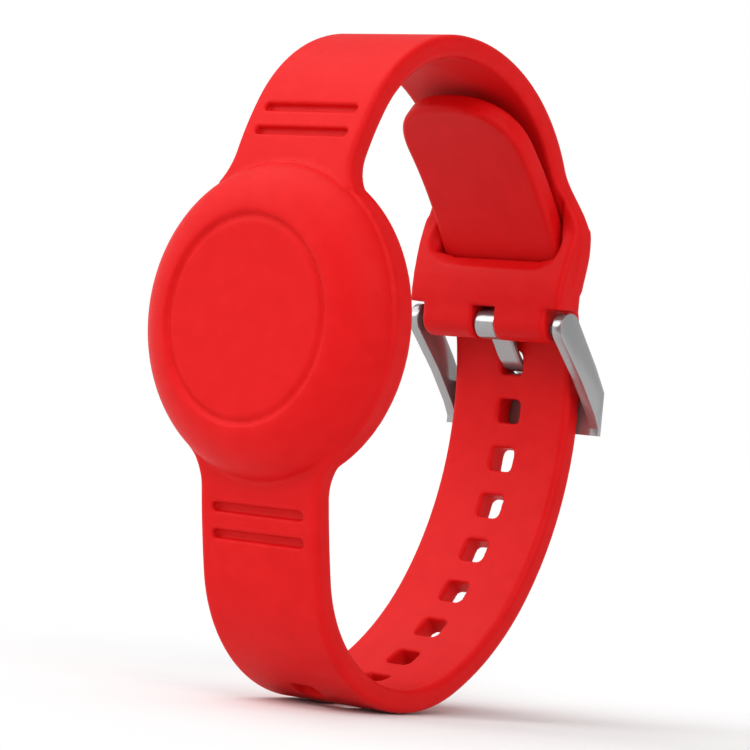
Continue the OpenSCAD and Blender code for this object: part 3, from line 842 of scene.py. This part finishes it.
MATERIALS = {
    "silicone": silicone(),
    "polished_steel": steel(),
    "white_plastic": plain("white_plastic", (0.86, 0.86, 0.85), 0.22, height=0.002),
    "pad_foam": plain("pad_foam", (0.75, 0.75, 0.72), 0.85, grain=8, height=0.03),
    "seal_rubber": plain("seal_rubber", (0.02, 0.02, 0.022), 0.7),
    "carrier_plastic": plain("carrier_plastic", (0.70, 0.70, 0.66), 0.5),
    "copper": plain("copper_wire", (0.80, 0.33, 0.16), 0.3, 1.0, grain=6),
    "magnet_nickel": plain("magnet_nickel", (0.62, 0.60, 0.56), 0.22, 1.0),
    "board": plain("board_mask", (0.012, 0.09, 0.045), 0.35, grain=10),
    "chip_resin": plain("chip_resin", (0.02, 0.02, 0.022), 0.55, grain=12),
    "shield_tin": plain("shield_tin", (0.60, 0.60, 0.58), 0.35, 1.0),
    "ferrite": plain("ferrite_grey", (0.06, 0.058, 0.058), 0.65, grain=12),
    "ceramic_body": plain("ceramic_body", (0.36, 0.24, 0.11), 0.5, grain=10),
    "gold_plate": plain("gold_plate", (0.90, 0.62, 0.22), 0.25, 1.0),
    "cell_nickel": plain("cell_nickel", (0.60, 0.60, 0.58), 0.3, 1.0),
    "cathode_mix": plain("cathode_mix", (0.03, 0.03, 0.03), 0.9, grain=14),
    "separator_felt": plain("separator_felt", (0.80, 0.80, 0.77), 0.95, grain=14),
    "lithium": plain("lithium_foil", (0.62, 0.62, 0.63), 0.4, 1.0),
}


def dress(obj, slot):
    obj.data.materials.clear()
    obj.data.materials.append(MATERIALS[slot])
    return obj


def dress_cad_nodes():
    """Gives each CAD node the material of its slot in the record."""
    for entry in frame["record"]["subparts"]:
        obj = frame["nodes"][entry["node"]]
        if obj.data.materials:
            for k in range(len(obj.material_slots)):
                obj.material_slots[k].material = MATERIALS[entry["material_slot"]]
        else:
            obj.data.materials.append(MATERIALS[entry["material_slot"]])


# --- Camera, light and floor --------------------------------------------------


def camera():
    """A long lens, turned from the front towards the band's right side and rolled a little."""
    azimuth, elevation, roll = (math.radians(a) for a in VIEW_ANGLES)
    back = Vector((
        math.sin(azimuth) * math.cos(elevation), -math.cos(azimuth) * math.cos(elevation), math.sin(elevation)
    ))
    right = Vector((math.cos(azimuth), math.sin(azimuth), 0))
    up = back.cross(right)
    rolled_right = right * math.cos(roll) + up * math.sin(roll)
    rolled_up = back.cross(rolled_right)
    data = bpy.data.cameras.new("camera")
    data.lens, data.sensor_width = LENS_MM, SENSOR_MM
    data.clip_start, data.clip_end = 0.01, 10
    obj = add_to_scene("camera", data)
    spot = VIEW_TARGET + back * VIEW_DISTANCE + rolled_right * VIEW_RIGHT - rolled_up * VIEW_DOWN
    turn = Matrix((rolled_right, rolled_up, back)).transposed().to_4x4()
    obj.matrix_world = Matrix.Translation(spot) @ turn
    bpy.context.scene.camera = obj


def far_light(name, direction, strength, spread):
    """A large soft light far away; spread is how many degrees of the sky it fills."""
    data = bpy.data.lights.new(name, "SUN")
    data.energy, data.angle = strength, math.radians(spread)
    obj = add_to_scene(name, data)
    obj.rotation_euler = Vector(direction).to_track_quat("Z", "Y").to_euler()


def sky():
    """A white surround, brightest on two sides."""
    world = bpy.data.worlds.new("studio")
    world.use_nodes = True
    nodes, links = world.node_tree.nodes, world.node_tree.links
    facing = nodes.new("ShaderNodeSeparateXYZ")
    links.new(nodes.new("ShaderNodeTexCoord").outputs["Generated"], facing.inputs["Vector"])
    both = nodes.new("ShaderNodeMath")
    both.operation = "MULTIPLY"
    for k, (axis, start, end, low) in enumerate(SKY_FALLS):
        ramp = nodes.new("ShaderNodeValToRGB")
        ramp.color_ramp.elements[0].position, ramp.color_ramp.elements[0].color = start, (1, 1, 1, 1)
        ramp.color_ramp.elements[1].position, ramp.color_ramp.elements[1].color = end, (low, low, low, 1)
        links.new(facing.outputs[axis], ramp.inputs["Fac"])
        links.new(ramp.outputs["Color"], both.inputs[k])
    links.new(both.outputs["Value"], nodes["Background"].inputs["Strength"])
    nodes["Background"].inputs["Color"].default_value = (1, 1, 1, 1)
    bpy.context.scene.world = world


def paper_floor():
    """A wide pale floor just below the band."""
    corners = [(FLOOR_HALF * x, FLOOR_HALF * y, 0) for x, y in ((-1, -1), (1, -1), (1, 1), (-1, 1))]
    floor = make_object("floor", corners, [(0, 1, 2, 3)], 1)
    floor.location.z = cad_box[0][2] - FLOOR_GAP
    material, tree, shader = new_material("floor_paper", (0.78, 0.78, 0.78), 0.8)
    vary(tree, shader, "Base Color", noise(tree, 0.05, 2), (0.775, 0.775, 0.775), (0.785, 0.785, 0.785))
    floor.data.materials.append(material)


camera()
for light in LIGHTS:
    far_light(*light)
sky()
bpy.context.scene.view_settings.view_transform = "Standard"
paper_floor()
dress_cad_nodes()

band = dress(silicone_band(), "silicone")
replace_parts(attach(band, "band"), "pod_case", "upper_strap", "lower_strap")

tail = dress(strap_tail_skin(), "silicone")
hinge_point, hinge_heading = LOWER.at(HINGE)
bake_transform(tail)
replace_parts(tail, "strap_tail")

for piece, body, slot, node in (
    (buckle_frame_polished(), "buckle", "polished_steel", "buckle_frame"),
    (buckle_tongue_polished(), "tongue", "polished_steel", "buckle_tongue"),
    (tracker_front(), "tracker", "white_plastic", "front_shell"),
    (tracker_rear_ring(), "tracker", "white_plastic", "rear_ring"),
    (tracker_cover(), "cover", "polished_steel", "battery_cover"),
):
    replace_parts(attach(dress(piece, slot), body), node)
